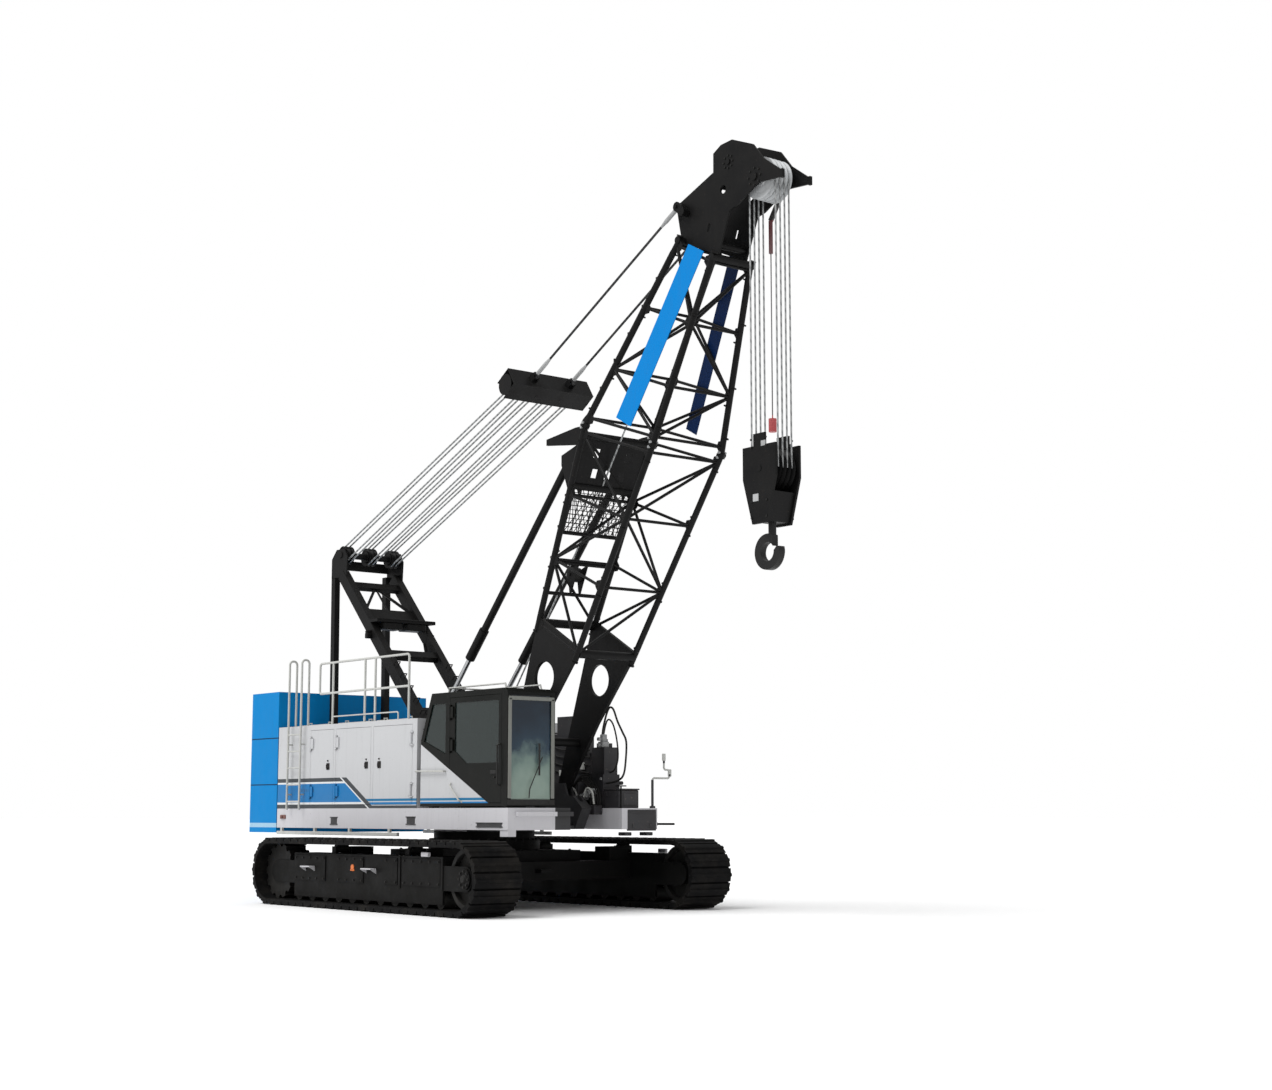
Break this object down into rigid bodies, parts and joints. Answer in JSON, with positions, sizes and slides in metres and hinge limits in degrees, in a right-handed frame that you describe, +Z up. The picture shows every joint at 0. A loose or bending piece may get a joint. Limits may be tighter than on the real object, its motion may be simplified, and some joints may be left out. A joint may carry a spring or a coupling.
{
  "type": "crawler crane",
  "caption": "Tracked crane with a slewing house, side cab, counterweight, gantry, short lattice boom, stays and a hook block on falls.",
  "frame": {"origin": "on the ground under the slewing centre, midway between the tracks", "axes": "+X towards the boom's side, +Y to the crane's left, +Z up"},
  "size_m": [13.35, 5.105, 11.637],
  "materials": {
    "track_black": "matte",
    "frame_black": "satin",
    "machine_grey": "satin",
    "house_grey": "satin",
    "weight_blue": "satin",
    "boom_black": "satin",
    "cab_dark": "satin",
    "window": "gloss",
    "seat_black": "matte",
    "engine_black": "matte",
    "engine_grey": "matte",
    "tank_grey": "matte",
    "rope_steel": "satin",
    "rail_grey": "satin",
    "board_blue": "satin",
    "hook_steel": "matte",
    "rod_steel": "gloss"
  },
  "bodies": {
    "base": {"track_right": "track_black", "track_left": "track_black", "frame_right": "frame_black", "frame_left": "frame_black", "track_wheels": "track_black", "carbody": "frame_black", "slew_ring": "frame_black"},
    "upper": {"upper_frame": "machine_grey", "counterweight_base": "weight_blue", "counterweight_middle": "weight_blue", "counterweight_top": "weight_blue", "house_right": "house_grey", "house_left": "house_grey", "engine": "engine_grey", "tanks": "tank_grey", "front_machinery": "engine_black", "cab_shell": "cab_dark", "cab_side_panel": "house_grey", "cab_glass": "window", "cab_seat": "seat_black", "gantry_front": "boom_black", "gantry_rear": "boom_black", "winch_frames": "boom_black", "handrails": "rail_grey", "ladder": "rail_grey"},
    "cab_door": {"cab_door": "cab_dark", "door_glass": "window"},
    "gantry_sheaves": {"gantry_sheaves": "boom_black"},
    "boom": {"boom_lower": "boom_black", "boom_upper": "boom_black", "boom_head": "boom_black", "sign_boards": "board_blue"},
    "boom_roller": {"boom_roller": "track_black"},
    "bridle": {"bridle": "boom_black", "stays": "rope_steel"},
    "bridle_sheaves": {"bridle_sheaves": "boom_black"},
    "backstop_tubes": {"backstop_tubes": "boom_black"},
    "backstop_rods": {"backstop_rods": "rod_steel"},
    "winch_front": {"winch_front": "rope_steel"},
    "winch_rear": {"winch_rear": "rope_steel"},
    "winch_boom": {"winch_boom": "rope_steel"},
    "head_sheaves": {"head_sheaves": "rope_steel"},
    "guide_sheaves": {"guide_sheaves": "boom_black"},
    "overhoist_line": {"overhoist_line": "boom_black"},
    "hook_block": {"hook_block": "boom_black", "hoist_ropes": "rope_steel"},
    "block_sheaves": {"block_sheaves": "boom_black"},
    "hook": {"hook": "hook_steel"},
    "door_right_rear": {"door_right_rear": "house_grey"},
    "door_right_middle": {"door_right_middle": "house_grey"},
    "door_right_front": {"door_right_front": "house_grey"},
    "door_left_rear": {"door_left_rear": "house_grey"},
    "door_left_middle": {"door_left_middle": "house_grey"},
    "door_left_front": {"door_left_front": "house_grey"}
  },
  "joints": [
    {"name": "slewing", "type": "hinge", "parent": "base", "child": "upper", "pos_m": [0, 0, 1.27], "axis": [0, 0, 1], "continuous": true},
    {"name": "boom_luff", "type": "hinge", "parent": "upper", "child": "boom", "pos_m": [1.5, 0, 1.95], "axis": [0, -1, 0], "range_deg": [-30.8, 19.2]},
    {"name": "stay_swing", "type": "hinge", "parent": "boom", "child": "bridle", "pos_m": [5.64, 0, 10.85], "axis": [0, -1, 0], "range_deg": [-15, 15]},
    {"name": "bridle_sheave_spin", "type": "hinge", "parent": "bridle", "child": "bridle_sheaves", "pos_m": [1.67, 0, 8.68], "axis": [0, 1, 0], "continuous": true},
    {"name": "gantry_sheave_spin", "type": "hinge", "parent": "upper", "child": "gantry_sheaves", "pos_m": [-3.95, 0, 6.4], "axis": [0, 1, 0], "continuous": true},
    {"name": "backstop_swing", "type": "hinge", "parent": "boom", "child": "backstop_tubes", "pos_m": [3.1, 0, 7.2], "axis": [0, -1, 0], "range_deg": [-25, 25]},
    {"name": "backstop_slide", "type": "slide", "parent": "backstop_tubes", "child": "backstop_rods", "axis": [-0.6781, 0, -0.7349], "range_m": [-1.3, 1.3]},
    {"name": "boom_roller_spin", "type": "hinge", "parent": "boom", "child": "boom_roller", "pos_m": [2.53, 0, 5.45], "axis": [0, 1, 0], "continuous": true},
    {"name": "head_sheave_spin", "type": "hinge", "parent": "boom", "child": "head_sheaves", "pos_m": [7.28, 0, 10.93], "axis": [0, 1, 0], "continuous": true},
    {"name": "guide_sheave_spin", "type": "hinge", "parent": "boom", "child": "guide_sheaves", "pos_m": [6.7, 0, 11.31], "axis": [0, 1, 0], "continuous": true},
    {"name": "fall_swing", "type": "hinge", "parent": "boom", "child": "overhoist_line", "pos_m": [7.28, 0, 10.93], "axis": [0, -1, 0], "range_deg": [-19.7, 31.3]},
    {"name": "hoisting", "type": "slide", "parent": "overhoist_line", "child": "hook_block", "axis": [0, 0, -1], "range_m": [-0.05, 4.6]},
    {"name": "block_sheave_spin", "type": "hinge", "parent": "hook_block", "child": "block_sheaves", "pos_m": [7.28, 0, 6.54], "axis": [0, 1, 0], "continuous": true},
    {"name": "hook_swivel", "type": "hinge", "parent": "hook_block", "child": "hook", "pos_m": [7.28, 0, 5.9], "axis": [0, 0, 1], "continuous": true},
    {"name": "winch_front_spin", "type": "hinge", "parent": "upper", "child": "winch_front", "pos_m": [0.25, 0, 2.33], "axis": [0, 1, 0], "continuous": true},
    {"name": "winch_rear_spin", "type": "hinge", "parent": "upper", "child": "winch_rear", "pos_m": [-0.9, 0, 2.33], "axis": [0, 1, 0], "continuous": true},
    {"name": "winch_boom_spin", "type": "hinge", "parent": "upper", "child": "winch_boom", "pos_m": [-2.3, 0, 2.23], "axis": [0, 1, 0], "continuous": true},
    {"name": "cab_door_swing", "type": "hinge", "parent": "upper", "child": "cab_door", "pos_m": [1.348, -1.625, 2.5], "axis": [0, 0, -1], "range_deg": [0, 90]},
    {"name": "door_right_rear_swing", "type": "hinge", "parent": "upper", "child": "door_right_rear", "pos_m": [-3.152, -1.625, 2.4], "axis": [0, 0, -1], "range_deg": [0, 90]},
    {"name": "door_right_middle_swing", "type": "hinge", "parent": "upper", "child": "door_right_middle", "pos_m": [-2.262, -1.625, 2.4], "axis": [0, 0, -1], "range_deg": [0, 90]},
    {"name": "door_right_front_swing", "type": "hinge", "parent": "upper", "child": "door_right_front", "pos_m": [0.182, -1.625, 2.4], "axis": [0, 0, 1], "range_deg": [0, 90]},
    {"name": "door_left_rear_swing", "type": "hinge", "parent": "upper", "child": "door_left_rear", "pos_m": [-3.152, 1.625, 2.4], "axis": [0, 0, 1], "range_deg": [0, 90]},
    {"name": "door_left_middle_swing", "type": "hinge", "parent": "upper", "child": "door_left_middle", "pos_m": [-2.262, 1.625, 2.4], "axis": [0, 0, 1], "range_deg": [0, 90]},
    {"name": "door_left_front_swing", "type": "hinge", "parent": "upper", "child": "door_left_front", "pos_m": [0.182, 1.625, 2.4], "axis": [0, 0, -1], "range_deg": [0, 90]}
  ],
  "couplings": [
    {"joint": "stay_swing", "follows": "boom_luff", "ratio": -0.3139},
    {"joint": "backstop_swing", "follows": "boom_luff", "ratio": -0.1259},
    {"joint": "backstop_slide", "follows": "boom_luff", "m_per_rad": -2.3093},
    {"joint": "fall_swing", "follows": "boom_luff", "ratio": -1}
  ]
}
